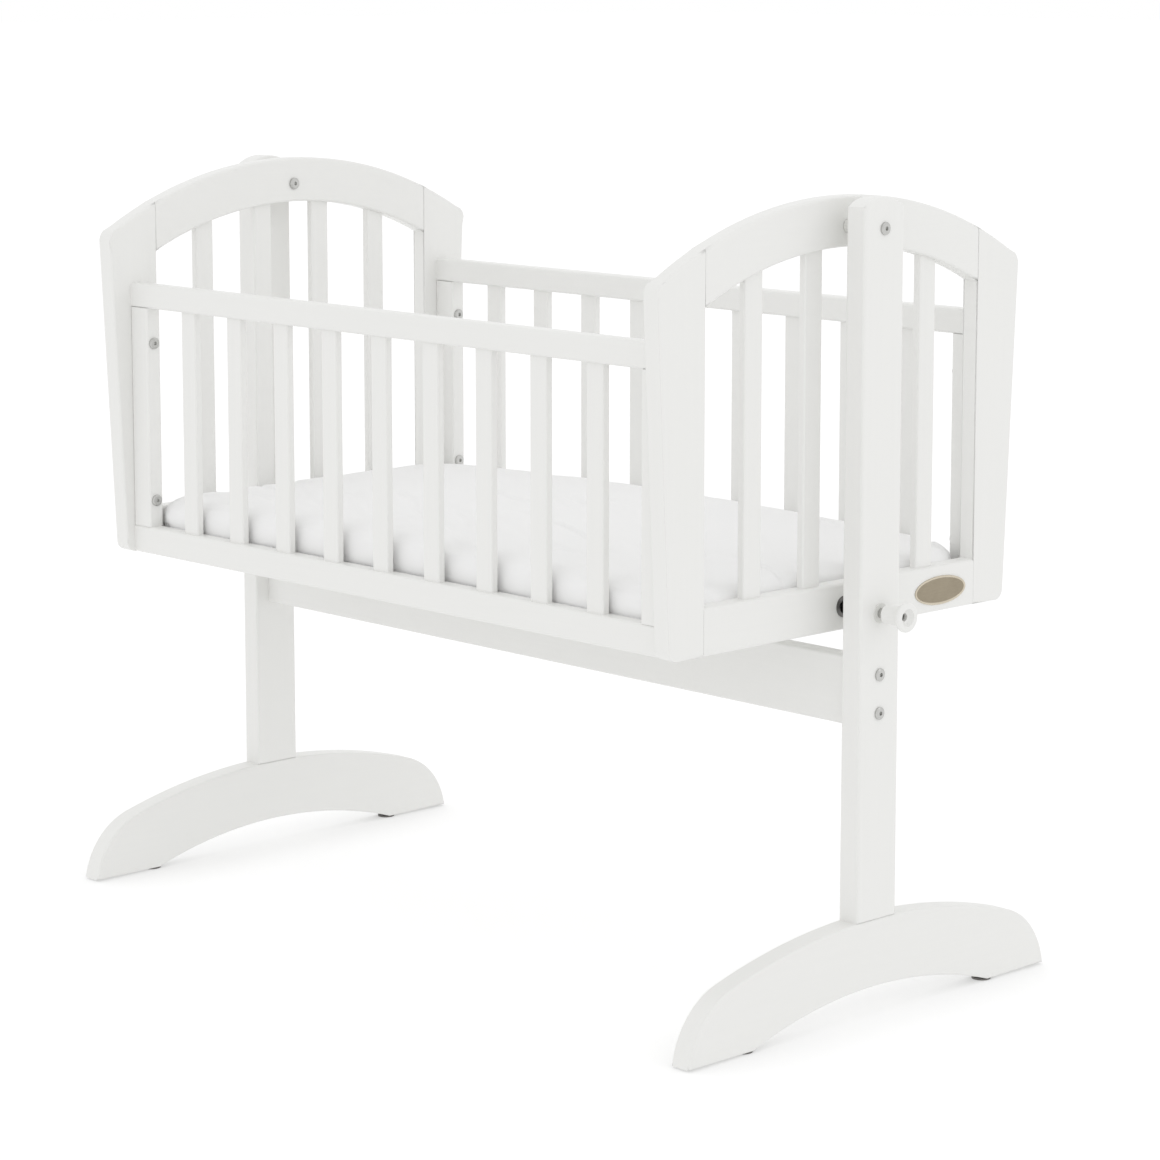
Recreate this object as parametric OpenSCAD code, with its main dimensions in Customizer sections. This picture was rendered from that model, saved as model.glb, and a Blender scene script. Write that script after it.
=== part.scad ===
// Swinging cradle on a stand, all in millimetres.
// X runs along the cradle, Y across it, Z up. The rear of the cradle is +Y, the lock knob is at the +X end.
// The origin is on the floor, under the middle of the whole object, knob included.
// The cradle hangs between two posts on a pivot at each end and swings about the X direction.

/* [Mattress] */
// Length of the mattress
mattress_length = 840; // [780:5:900]
// Width of the mattress
mattress_width = 430; // [400:5:440]
// Thickness of the mattress at its edge
mattress_thickness = 42; // [30:1:60]
// How much higher the middle of the mattress stands than its edge
mattress_crown = 7; // [2:1:12]

/* [Cradle] */
// Room inside the cradle over the length of the mattress
length_room = 12; // [6:1:20]
// Room inside the cradle over the width of the mattress
width_room = 10; // [6:1:16]
// Height of the underside of the cradle above the floor
cradle_floor = 392; // [385:1:400]
// Height of the top of the side rails above the floor
side_top = 699; // [680:1:715]
// Thickness of the base board
base_thickness = 6; // [4:1:9]

/* [End panels] */
// Thickness of an end panel
panel_thickness = 20; // [18:1:22]
// Width of an end panel at its shoulders
panel_width = 531; // [520:1:545]
// Width of an end panel at the bottom
panel_foot_width = 496; // [490:1:510]
// Height of the top of the arch above the floor
arch_top = 830; // [824:1:836]
// Radius of the arch
arch_radius = 505; // [480:5:530]
// Depth of the arched top rail
arch_depth = 51; // [48:1:54]
// Depth of the bottom rail of an end panel
end_rail_depth = 48; // [46:1:52]
// Width between the stiles of an end panel
window_width = 402; // [396:2:406]
// Number of slats in an end panel
end_slats = 4; // [3:1:5]
// Width of an end slat
end_slat_width = 25; // [20:1:28]
// Thickness of every slat
slat_thickness = 9; // [8:1:11]

/* [Side panels] */
// Thickness of the side rails and stiles
side_thickness = 18; // [16:1:18]
// Depth of the top rail of a side
side_top_depth = 27; // [24:1:32]
// Depth of the bottom rail of a side
side_bottom_depth = 31; // [28:1:34]
// Width of a stile of a side
side_stile_width = 30; // [26:1:36]
// Number of slats in a side
side_slats = 9; // [7:1:11]
// Width of a side slat
side_slat_width = 24.5; // [20:0.5:28]

/* [Stand] */
// Gap between an end panel and its post
post_gap = 24; // [22:1:28]
// Thickness of the posts and feet
post_thickness = 25; // [24:1:28]
// Width of a post
post_width = 58; // [54:1:64]
// Height of the top of a post above the floor
post_top = 831; // [826:1:836]
// Radius of the rounded top of a post
post_top_radius = 50; // [46:1:60]
// Length of a foot
foot_length = 538; // [520:2:560]
// Height of a foot above the floor
foot_top = 102; // [98:1:106]
// Radius along the top of a foot
foot_radius = 730; // [700:10:780]
// Radius round the toe of a foot
toe_radius = 85; // [70:1:95]
// Rise of the arch under a foot, from the floor
foot_arch_rise = 31; // [26:1:34]
// Width of the arch under a foot
foot_arch_width = 356; // [340:2:360]
// Underside of the stretcher above the floor
stretcher_floor = 298; // [290:1:302]
// Depth of the stretcher
stretcher_depth = 71; // [64:1:74]
// Thickness of the stretcher
stretcher_thickness = 22; // [20:1:24]

/* [Pivots and lock] */
// Height of the pivots above the floor
pivot_height = 800; // [797:1:804]
// Diameter of the pivot sleeve that the cradle turns on
pivot_diameter = 10; // [9:0.5:11]
// Height of the lock pin above the floor
lock_height = 416; // [414:1:418]
// Diameter of the lock pin
lock_diameter = 10; // [8:0.5:10]
// Largest diameter of the lock knob
knob_diameter = 30; // [27:1:32]
// Length of the lock knob
knob_length = 28; // [26:1:32]

/* [Edges] */
// Radius of the rounded edges of the straight rails
edge_radius = 3; // [2:0.5:4]

/* [Hidden] */

large = 360;   // sides of a large circle
small = 48;    // sides of a small circle
over = 1;      // how far a cutting shape runs past what it cuts
fit = 0.05;    // radial room of a dowel, nut or bush in its hole
running = 0.06; // radial room of a turning or sliding fit

// the cradle
inner_x = (mattress_length + length_room) / 2;
inner_y = (mattress_width + width_room) / 2;
panel_x = inner_x + panel_thickness;
side_y = inner_y + side_thickness;
arch_centre = arch_top - arch_radius;
half_window = window_width / 2;
shoulder_z = 750;         // height at which the taper of an end panel is measured
shoulder_radius = 15;     // corner where the arch meets the taper
bottom_corner_radius = 12;
end_slat_pitch = (window_width - end_slats * end_slat_width) / (end_slats + 1) + end_slat_width;
side_opening = 2 * (inner_x - side_stile_width);
side_slat_pitch = (side_opening - side_slats * side_slat_width) / (side_slats + 1) + side_slat_width;
tenon = 10;               // how far a slat enters a rail
side_bolt_heights = [632, 453];
side_bolt_y = side_y - side_thickness / 2;

// the stand
post_in = panel_x + post_gap;
post_out = post_in + post_thickness;
post_mid = post_in + post_thickness / 2;
glide_height = 2;
glide_diameter = 20;
glide_y = 181;            // near the inner end of each toe's flat underside
post_floor = foot_top - (foot_radius - sqrt(pow(foot_radius, 2) - pow(post_width / 2, 2)));
stretcher_bolt_spacing = 39.4;
stretcher_mid = stretcher_floor + stretcher_depth / 2;
stretcher_bolt_heights = [for (s = [-1, 1]) stretcher_mid + s * stretcher_bolt_spacing / 2];
barrel_x = post_in - 32;  // middle of the stretcher's barrel nuts
bolt_past_barrel = 10;    // how far a stretcher bolt runs past it
hole_past_barrel = 14;

// fasteners
head_diameter = 13;
head_height = 2.5;
head_bevel = 1;
head_top = 10;            // diameter of the flat on top of a bolt head
socket_size = 4.6;        // hexagon socket, corner to corner
socket_depth = 2;
bolt_diameter = 6;
bolt_room = 0.25;         // radial room of a bolt in its hole
dowel_diameter = 8;
foot_dowel_diameter = 10;
foot_dowel_reach = 25;    // how far a dowel enters each of the two boards it joins
foot_dowel_y = 15;
end_dowel_reach = 18;
side_dowel_reach = 14;
barrel_diameter = 10;
barrel_length = 17;
insert_diameter = 10;
insert_length = 14;
screw_diameter = 4;

// pivots
sleeve_step = 12;         // how far the pivot sleeve enters the post
sleeve_bore = 8;          // where its bore starts, from the inner face of the end panel
pivot_bolt_end = 10;      // where the bolt in it ends, from the same face
bush_wall = 2;
axial_room = 0.4;         // endwise room on each side of a hanging panel

// lock
knob_stand_off = 9;       // from the post to the knob, where the pin shows
knob_neck = 9.5;          // radius of the knob's neck
knob_flare = 35;          // radius of the curve from the neck out to the rim
knob_rim = 5;             // thickness of the rim
knob_round = 2;           // rounding of the rim
dish_radius = 9;
dish_depth = 6;
knob_screw_depth = 9;     // from the knob's end down to the head of its screw
knob_screw_head = 2;      // thickness of that head
pin_tip_gap = 4;          // gap from the tip of the lock pin to the end panel
pin_tip = 2;              // length of its tapered tip
pin_in_knob = 14;
guide_rim = 20;           // diameter of the rim of the pin's guide, on the post
lock_bush_depth = 16;
lock_bush_body = 17;
lock_bush_flange = 22;
lock_bush_bore = 14;
flange_thickness = 1;

badge_y = 148;
badge_z = 414.2;
badge_length = 79;
badge_height = 30;
badge_thickness = 1.2;
badge_points = 72;
badge_pin_diameter = 2;
badge_pin_length = 8;
badge_pin_y = 26;         // distance of each pin from the middle of the plate

base_floor = cradle_floor + 10;
mattress_floor = base_floor + base_thickness;

// the middle of everything lies over the origin, although the knob stands out at one end only
knob_end = post_out + knob_stand_off + knob_length;
centre_x = (knob_end - (post_out + head_height)) / 2;

paint = "#f0efec";
steel = "#77777a";
pale_wood = "#d9bf94";

// -- shared shapes ---------------------------------------------------------------------------

module centred() { translate([-centre_x, 0, 0]) children(); }

// an outline drawn in Y and Z, made into a board that starts at x and is t thick
module board(x, t) { translate([x, 0, 0]) rotate([90, 0, 90]) linear_extrude(t) children(); }

// a rectangle a by b about the origin, with round corners
module round_rectangle(a, b, r) {
    square([a - 2 * r, b], center = true);
    square([a, b - 2 * r], center = true);
    for (x = [-1, 1], y = [-1, 1])
        translate([x * (a / 2 - r), y * (b / 2 - r)]) circle(r, $fn = small);
}

// a bar with rounded long edges, along X from x0 to x1
module bar_x(x0, x1, y, z, wide, deep, r = edge_radius) {
    translate([x0, y, z]) rotate([90, 0, 90]) linear_extrude(x1 - x0) round_rectangle(wide, deep, r);
}

// a bar with rounded long edges, upright from z0 to z1; a along X, b along Y
module bar_z(x, y, z0, z1, a, b, r = edge_radius) {
    translate([x, y, z0]) linear_extrude(z1 - z0) round_rectangle(a, b, r);
}

// a round rod along X, from x0 to x1
module rod_x(x0, x1, y, z, d) {
    translate([x0, y, z]) rotate([0, 90, 0]) cylinder(h = x1 - x0, d = d, $fn = small);
}

// a round rod along Y, from y0 to y1
module rod_y(x, y0, y1, z, d) {
    translate([x, y0, z]) rotate([-90, 0, 0]) cylinder(h = y1 - y0, d = d, $fn = small);
}

// the head of a furniture bolt: it sits on the plane z = 0
module bolt_head() {
    difference() {
        union() {
            cylinder(h = head_height - head_bevel, d = head_diameter, $fn = small);
            translate([0, 0, head_height - head_bevel])
                cylinder(h = head_bevel, d1 = head_diameter, d2 = head_top, $fn = small);
        }
        translate([0, 0, head_height - socket_depth])
            cylinder(h = socket_depth + over, d = socket_size, $fn = 6);
    }
}

// a furniture bolt, whose shank runs down from its head
module bolt(length) {
    bolt_head();
    translate([0, 0, -length]) cylinder(h = length, d = bolt_diameter, $fn = small);
}

// -- stand -----------------------------------------------------------------------------------

// the face of a post: x across, y up
module post_face() {
    top_centre = post_top - post_top_radius;
    intersection() {
        translate([-post_width / 2, post_floor]) square([post_width, post_top - post_floor + over]);
        union() {
            translate([0, top_centre]) circle(post_top_radius, $fn = large);
            translate([-post_width / 2, post_floor]) square([post_width, top_centre - post_floor]);
        }
    }
}

// a post from x, with its bolt, pivot and dowel holes; side is -1 at the left end, 1 at the right
module post(side) {
    x = side > 0 ? post_in : -post_out;
    difference() {
        board(x, post_thickness) post_face();
        for (z = stretcher_bolt_heights)
            rod_x(x - over, x + post_thickness + over, 0, z, bolt_diameter + 2 * bolt_room);
        rod_x(x - over, x + post_thickness + over, 0, pivot_height, bolt_diameter + 2 * bolt_room);
        mirror([side > 0 ? 0 : 1, 0, 0])
            rod_x(post_in - over, post_in + sleeve_step, 0, pivot_height, pivot_diameter + 2 * fit);
        foot_dowel_set(side, foot_dowel_diameter + 2 * fit, 1);
        if (side > 0)
            rod_x(x - over, x + post_thickness + over, 0, lock_height, lock_guide_diameter + 2 * fit);
    }
}

module left_post() { color(paint) post(-1); }
module right_post() { color(paint) post(1); }

// the face of a foot: x along it, y up; the arc over the top runs smoothly into the toes
toe_y = foot_length / 2 - toe_radius;
foot_centre = foot_top - foot_radius;
toe_centre = foot_centre + sqrt(pow(foot_radius - toe_radius, 2) - pow(toe_y, 2));
toe_angle = atan2(toe_centre - foot_centre, toe_y);
foot_arch_drop = foot_arch_rise - glide_height;
foot_arch_radius = (pow(foot_arch_width / 2, 2) + pow(foot_arch_drop, 2)) / (2 * foot_arch_drop);
foot_arch_centre = foot_arch_rise - foot_arch_radius;

module foot_face() {
    flat_y = foot_radius * cos(toe_angle);
    difference() {
        union() {
            intersection() {
                translate([0, foot_centre]) circle(foot_radius, $fn = large);
                translate([-flat_y, glide_height]) square([2 * flat_y, foot_top]);
            }
            for (side = [-1, 1])
                intersection() {
                    translate([side * toe_y, toe_centre]) circle(toe_radius, $fn = large);
                    translate([side > 0 ? toe_y : -foot_length, glide_height])
                        square([foot_length - toe_y, foot_top]);
                }
        }
        translate([0, foot_arch_centre]) circle(foot_arch_radius, $fn = large);
        translate([-post_width / 2 - over, post_floor])
            square([post_width + 2 * over, foot_top]);
    }
}

module foot(side) {
    difference() {
        board(side > 0 ? post_in : -post_out, post_thickness) foot_face();
        foot_dowel_set(side, foot_dowel_diameter + 2 * fit, 1);
    }
}

module left_foot() { color(paint) foot(-1); }
module right_foot() { color(paint) foot(1); }

module foot_glides() {
    color("#3a3a3c")
        for (x = [-post_mid, post_mid], y = [-glide_y, glide_y])
            translate([x, y, 0]) cylinder(h = glide_height, d = glide_diameter, $fn = small);
}

// the dowels that hold a post on its foot, or with an allowance the holes they sit in
module foot_dowel_set(side, d, longer = 0) {
    reach = foot_dowel_reach + longer;
    for (y = [-foot_dowel_y, foot_dowel_y])
        translate([side * post_mid, y, post_floor - reach]) cylinder(h = 2 * reach, d = d, $fn = small);
}

module foot_dowels() {
    color(pale_wood) for (side = [-1, 1]) foot_dowel_set(side, foot_dowel_diameter);
}

module stretcher() {
    color(paint) difference() {
        bar_x(-post_in, post_in, 0, stretcher_mid, stretcher_thickness, stretcher_depth);
        for (side = [0, 1], z = stretcher_bolt_heights) mirror([side, 0, 0]) {
            rod_x(barrel_x - hole_past_barrel, post_in + over, 0, z, bolt_diameter + 2 * bolt_room);
            rod_y(barrel_x, -barrel_length / 2 - fit, stretcher_thickness, z, barrel_diameter + 2 * fit);
        }
    }
}

module stretcher_bolts() {
    color(steel) for (side = [0, 1], z = stretcher_bolt_heights)
        mirror([side, 0, 0]) translate([post_out, 0, z]) rotate([0, 90, 0])
            bolt(post_out - barrel_x + bolt_past_barrel);
}

module stretcher_barrel_nuts() {
    color(steel) for (side = [-1, 1], z = stretcher_bolt_heights)
        difference() {
            rod_y(side * barrel_x, -barrel_length / 2, barrel_length / 2, z, barrel_diameter);
            rod_x(side * barrel_x - barrel_diameter, side * barrel_x + barrel_diameter, 0, z,
                bolt_diameter + 2 * fit);
        }
}

// -- pivots ----------------------------------------------------------------------------------

sleeve_end = post_in + sleeve_step;
sleeve_head = inner_x - axial_room;
spacer_start = panel_x + axial_room;
pivot_bush_diameter = pivot_diameter + 2 * running + 2 * bush_wall;

module pivot_bolts() {
    color(steel) for (side = [0, 1])
        mirror([side, 0, 0]) translate([post_out, 0, pivot_height]) rotate([0, 90, 0])
            bolt(post_out - inner_x - pivot_bolt_end);
}

// a flanged sleeve nut: the cradle turns on it, and the bolt through the post draws it up to the post
module pivot_sleeves() {
    color(steel) for (side = [0, 1])
        mirror([side, 0, 0]) difference() {
            union() {
                translate([sleeve_head, 0, pivot_height]) rotate([0, -90, 0]) bolt_head();
                rod_x(sleeve_head, sleeve_end, 0, pivot_height, pivot_diameter);
            }
            rod_x(inner_x + sleeve_bore, sleeve_end + over, 0, pivot_height, bolt_diameter + 2 * fit);
        }
}

module pivot_spacers() {
    color("#e8e8e6") for (side = [0, 1])
        mirror([side, 0, 0]) difference() {
            rod_x(spacer_start, post_in, 0, pivot_height, pivot_bush_diameter);
            rod_x(spacer_start - over, post_in + over, 0, pivot_height, pivot_diameter + 2 * fit);
        }
}

// plain bushes pressed into the arched rails, flush on both faces
module pivot_bushes() {
    color("#e8e8e6") for (side = [0, 1])
        mirror([side, 0, 0]) difference() {
            rod_x(inner_x, panel_x, 0, pivot_height, pivot_bush_diameter);
            rod_x(inner_x - over, panel_x + over, 0, pivot_height, pivot_diameter + 2 * running);
        }
}

// -- lock ------------------------------------------------------------------------------------

lock_guide_diameter = lock_diameter + 2 * running + 2 * bush_wall;

module lock_guide() {
    color("#e8e8e6") difference() {
        union() {
            rod_x(post_in, post_out, 0, lock_height, lock_guide_diameter);
            rod_x(post_out, post_out + flange_thickness, 0, lock_height, guide_rim);
        }
        rod_x(post_in - over, post_out + 2 * over, 0, lock_height, lock_diameter + 2 * running);
    }
}

module lock_bush() {
    color(steel) difference() {
        union() {
            rod_x(panel_x - lock_bush_depth, panel_x, 0, lock_height, lock_bush_body);
            rod_x(panel_x, panel_x + flange_thickness, 0, lock_height, lock_bush_flange);
        }
        rod_x(panel_x - lock_bush_depth - over, panel_x + 2 * over, 0, lock_height, lock_bush_bore);
    }
}

knob_start = post_out + knob_stand_off;
knob_screw_top = knob_end - knob_screw_depth;
knob_screw_seat = knob_screw_top - knob_screw_head;

// half of the knob's section: x is the radius, y runs along the knob from the post outwards
module knob_section() {
    rim = knob_diameter / 2;
    rim_start = knob_length - knob_rim;
    flare_end = rim - knob_round;
    flare_start = rim_start - sqrt(pow(knob_flare, 2) - pow(knob_flare + knob_neck - flare_end, 2));
    dish = (pow(dish_radius, 2) + pow(dish_depth, 2)) / (2 * dish_depth);
    difference() {
        union() {
            translate([0, rim_start]) square([flare_end, knob_rim]);
            translate([0, rim_start + knob_round]) square([rim, knob_rim - 2 * knob_round]);
            for (y = [rim_start + knob_round, knob_length - knob_round])
                translate([flare_end, y]) circle(knob_round, $fn = small);
            difference() {
                square([flare_end, rim_start + over]);
                translate([knob_neck + knob_flare, flare_start]) circle(knob_flare, $fn = large);
                translate([knob_neck, -over]) square([rim, flare_start + over]);
            }
        }
        translate([0, knob_length - dish_depth + dish]) circle(dish, $fn = large);
        translate([-rim, 0]) square([rim, knob_length]);
    }
}

module lock_knob() {
    color(paint) difference() {
        translate([knob_start, 0, lock_height]) rotate([0, 90, 0])
            rotate_extrude($fn = small) knob_section();
        rod_x(knob_start - over, knob_start + pin_in_knob + fit, 0, lock_height, lock_diameter + 2 * fit);
        rod_x(knob_start, knob_end, 0, lock_height, screw_diameter + 2 * fit);
        rod_x(knob_screw_seat, knob_end, 0, lock_height, 2 * screw_diameter + 2 * fit);
    }
}

module lock_pin() {
    tip = panel_x + pin_tip_gap;
    color(steel) difference() {
        union() {
            rod_x(tip + pin_tip, knob_start + pin_in_knob, 0, lock_height, lock_diameter);
            translate([tip, 0, lock_height]) rotate([0, 90, 0])
                cylinder(h = pin_tip, d1 = lock_diameter - 3, d2 = lock_diameter, $fn = small);
        }
        rod_x(knob_start, knob_end, 0, lock_height, screw_diameter + 2 * fit);
    }
}

module lock_screw() {
    color("#3c3c3e") difference() {
        union() {
            rod_x(knob_screw_seat, knob_screw_top, 0, lock_height, 2 * screw_diameter);
            rod_x(knob_start + 2, knob_screw_seat, 0, lock_height, screw_diameter);
        }
        translate([knob_screw_top - 1.2, 0, lock_height]) rotate([0, 90, 0])
            cylinder(h = 1.2 + over, d = 3.4, $fn = 6);
    }
}

// -- end panels ------------------------------------------------------------------------------

taper = (panel_width - panel_foot_width) / 2 / (shoulder_z - cradle_floor);
function edge_y(z) = panel_width / 2 - taper * (shoulder_z - z);
taper_angle = atan(taper);

// centre of the small arc that joins the arch and the tapered edge, both on its outside
function shoulder_centre(r) =
    let (
        offset = panel_width / 2 - r / cos(taper_angle) - taper * shoulder_z,
        reach = arch_radius - r,
        a = 1 + pow(taper, 2),
        b = 2 * (taper * offset - arch_centre),
        c = pow(offset, 2) + pow(arch_centre, 2) - pow(reach, 2),
        z = (-b + sqrt(pow(b, 2) - 4 * a * c)) / (2 * a)
    ) [offset + taper * z, z];

// centre of the small arc at the bottom corner
function bottom_centre(r) =
    let (z = cradle_floor + r) [edge_y(z) - r / cos(taper_angle), z];

// where the small arcs begin and end, on the +Y side
shoulder_mid = shoulder_centre(shoulder_radius);
bottom_mid = bottom_centre(bottom_corner_radius);
edge_normal = [cos(taper_angle), -sin(taper_angle)];
edge_start = bottom_mid + bottom_corner_radius * edge_normal;
edge_end = shoulder_mid + shoulder_radius * edge_normal;
arch_start_angle = atan2(shoulder_mid[1] - arch_centre, shoulder_mid[0]);
arch_start = [0, arch_centre] + arch_radius * [cos(arch_start_angle), sin(arch_start_angle)];

// the whole face of an end panel, solid, without its window
module panel_face() {
    for (flip = [0, 1]) mirror([flip, 0, 0]) {
        intersection() {
            translate([0, arch_centre]) circle(arch_radius, $fn = large);
            polygon([[0, cradle_floor], [arch_start[0] / 4, cradle_floor], shoulder_mid, arch_start,
                [arch_start[0], arch_top], [0, arch_top + over]]);
        }
        polygon([[0, cradle_floor], [bottom_mid[0], cradle_floor], bottom_mid, edge_start, edge_end,
            shoulder_mid, [0, shoulder_mid[1]]]);
        translate(shoulder_mid) circle(shoulder_radius, $fn = small);
        translate(bottom_mid) circle(bottom_corner_radius, $fn = small);
    }
}

// a stile of an end panel, from the window's edge out
// side is -1 at the left end, 1 at the right; across is -1 at the front, 1 at the rear
module end_stile(side, across) {
    difference() {
        board(side > 0 ? inner_x : -panel_x, panel_thickness) intersection() {
            panel_face();
            translate([across > 0 ? half_window : -panel_width, 0])
                square([panel_width - half_window, arch_top]);
        }
        for (z = side_bolt_heights) mirror([side > 0 ? 0 : 1, 0, 0])
            rod_x(inner_x - over, inner_x + insert_length + 1, across * side_bolt_y, z,
                insert_diameter + 2 * fit);
        end_dowel_set(side, across, dowel_diameter + 2 * fit, 1);
    }
}

module left_front_stile() { color(paint) end_stile(-1, -1); }
module left_rear_stile() { color(paint) end_stile(-1, 1); }
module right_front_stile() { color(paint) end_stile(1, -1); }
module right_rear_stile() { color(paint) end_stile(1, 1); }

// two dowels at each end of the bottom rail and two at each end of the arched rail
end_dowel_heights = [cradle_floor + 12, cradle_floor + 36, shoulder_z - 2, shoulder_z + 18];

// the dowels between the rails and one stile of an end panel, or their holes
module end_dowel_set(side, across, d, longer = 0) {
    reach = end_dowel_reach + longer;
    for (z = end_dowel_heights)
        rod_y(side * (inner_x + panel_thickness / 2), across * half_window - reach,
            across * half_window + reach, z, d);
}

module end_panel_dowels() {
    color(pale_wood) for (side = [-1, 1], across = [-1, 1]) end_dowel_set(side, across, dowel_diameter);
}

function arch_underside(y) = arch_centre + sqrt(pow(arch_radius - arch_depth, 2) - pow(y, 2));

// the slats of an end panel, which run into their rails
module end_slat_set(side) {
    for (i = [0 : end_slats - 1]) {
        y = (i - (end_slats - 1) / 2) * end_slat_pitch;
        bar_z(side * (inner_x + panel_thickness / 2), y, cradle_floor + end_rail_depth - tenon,
            arch_underside(y) + tenon + 2, slat_thickness, end_slat_width, 2);
    }
}

module left_slats() { color(paint) end_slat_set(-1); }
module right_slats() { color(paint) end_slat_set(1); }

module arched_rail(side) {
    color(paint) difference() {
        board(side > 0 ? inner_x : -panel_x, panel_thickness) intersection() {
            difference() {
                translate([0, arch_centre]) circle(arch_radius, $fn = large);
                translate([0, arch_centre]) circle(arch_radius - arch_depth, $fn = large);
            }
            translate([-half_window, arch_centre + arch_radius / 2]) square([window_width, arch_radius]);
        }
        end_slat_set(side);
        for (across = [-1, 1]) end_dowel_set(side, across, dowel_diameter + 2 * fit, 1);
        rod_x(-panel_x - over, panel_x + over, 0, pivot_height, pivot_bush_diameter + 2 * fit);
    }
}

module left_top_rail() { arched_rail(-1); }
module right_top_rail() { arched_rail(1); }

module end_bottom_rail(side) {
    color(paint) difference() {
        translate([side * (inner_x + panel_thickness / 2), -half_window, cradle_floor + end_rail_depth / 2])
            rotate([-90, 0, 0]) linear_extrude(window_width)
                round_rectangle(panel_thickness, end_rail_depth, edge_radius);
        end_slat_set(side);
        for (across = [-1, 1]) end_dowel_set(side, across, dowel_diameter + 2 * fit, 1);
        if (side > 0) {
            rod_x(inner_x - over, panel_x + over, 0, lock_height, lock_bush_body + 2 * fit);
            badge_pin_set(badge_pin_diameter + 2 * fit, 0.5);
        }
    }
}

module left_bottom_rail() { end_bottom_rail(-1); }
module right_bottom_rail() { end_bottom_rail(1); }

// -- badge -----------------------------------------------------------------------------------

// a bare oval plate
module badge_plate() {
    color("#b9a47c") translate([0, badge_y, badge_z])
        board(panel_x, badge_thickness)
            polygon([for (k = [0 : badge_points - 1])
                let (a = 360 * k / badge_points) [badge_length * cos(a), badge_height * sin(a)] / 2]);
}

module badge_pin_set(d, longer = 0) {
    for (s = [-1, 1])
        rod_x(panel_x - badge_pin_length - longer, panel_x, badge_y + s * badge_pin_y, badge_z, d);
}

module badge_pins() { color("#b9a47c") badge_pin_set(badge_pin_diameter); }

// -- side panels -----------------------------------------------------------------------------

stile_floor = cradle_floor + side_bottom_depth;
stile_top = side_top - side_top_depth;

module side_slat_set(across) {
    for (i = [0 : side_slats - 1])
        bar_z((i - (side_slats - 1) / 2) * side_slat_pitch, across * side_bolt_y,
            stile_floor - tenon, stile_top + tenon, side_slat_width, slat_thickness, 2);
}

module front_slats() { color(paint) side_slat_set(-1); }
module rear_slats() { color(paint) side_slat_set(1); }

// the dowels between the rails and stiles of one side, or their holes
module side_dowel_set(across, d, longer = 0) {
    reach = side_dowel_reach + longer;
    for (side = [-1, 1], z = [stile_floor, stile_top])
        translate([side * (inner_x - side_stile_width / 2), across * side_bolt_y, z - reach])
            cylinder(h = 2 * reach, d = d, $fn = small);
}

module side_panel_dowels() {
    color(pale_wood) for (across = [-1, 1]) side_dowel_set(across, dowel_diameter);
}

module side_rail(across, z, deep) {
    color(paint) difference() {
        bar_x(-inner_x, inner_x, across * side_bolt_y, z, side_thickness, deep);
        side_slat_set(across);
        side_dowel_set(across, dowel_diameter + 2 * fit, 1);
        if (z < side_top / 2 + cradle_floor / 2) batten_screw_set(across, screw_diameter + 2 * fit, 1);
    }
}

module front_top_rail() { side_rail(-1, side_top - side_top_depth / 2, side_top_depth); }
module rear_top_rail() { side_rail(1, side_top - side_top_depth / 2, side_top_depth); }
module front_bottom_rail() { side_rail(-1, cradle_floor + side_bottom_depth / 2, side_bottom_depth); }
module rear_bottom_rail() { side_rail(1, cradle_floor + side_bottom_depth / 2, side_bottom_depth); }

module side_stile(side, across) {
    color(paint) difference() {
        bar_z(side * (inner_x - side_stile_width / 2), across * side_bolt_y, stile_floor, stile_top,
            side_stile_width, side_thickness, 2);
        side_dowel_set(across, dowel_diameter + 2 * fit, 1);
        for (z = side_bolt_heights)
            rod_x(-inner_x - over, inner_x + over, across * side_bolt_y, z, bolt_diameter + 2 * bolt_room);
    }
}

module front_left_stile() { side_stile(-1, -1); }
module front_right_stile() { side_stile(1, -1); }
module rear_left_stile() { side_stile(-1, 1); }
module rear_right_stile() { side_stile(1, 1); }

// bolts through the sides' stiles into the end panels, heads on the inside
module side_bolts() {
    color(steel) for (side = [0, 1], y = [-side_bolt_y, side_bolt_y], z = side_bolt_heights)
        mirror([side, 0, 0]) translate([inner_x - side_stile_width, y, z]) rotate([0, -90, 0])
            bolt(side_stile_width + insert_length - 2);
}

module side_inserts() {
    color("#b08d4f") for (side = [0, 1], y = [-side_bolt_y, side_bolt_y], z = side_bolt_heights)
        mirror([side, 0, 0]) difference() {
            rod_x(inner_x, inner_x + insert_length, y, z, insert_diameter);
            rod_x(inner_x - over, inner_x + insert_length + over, y, z, bolt_diameter + 2 * fit);
        }
}

// -- base and mattress -----------------------------------------------------------------------

base_room = 2;            // gap round the base board
batten_width = 18;
batten_length = 820;
screws_per_batten = 4;
batten_screw_pitch = 240;
batten_screw_reach = 9;   // how far a screw enters the rail
screw_head = 7;
screw_head_depth = 2.4;

module base_board() {
    color(paint) translate([-inner_x + base_room, -inner_y + base_room, base_floor])
        cube([2 * (inner_x - base_room), 2 * (inner_y - base_room), base_thickness]);
}

// puts what follows at each screw of a batten, with z from the batten's inner face into the rail
module at_batten_screws(across) {
    mirror([0, across > 0 ? 0 : 1, 0])
        for (i = [0 : screws_per_batten - 1])
            translate([(i - (screws_per_batten - 1) / 2) * batten_screw_pitch, inner_y - batten_width,
                (cradle_floor + base_floor) / 2])
                rotate([-90, 0, 0]) children();
}

// the shanks of the screws that hold a batten to its side, or their holes
module batten_screw_set(across, d, longer = 0) {
    at_batten_screws(across) cylinder(h = batten_width + batten_screw_reach + longer, d = d, $fn = small);
}

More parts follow.
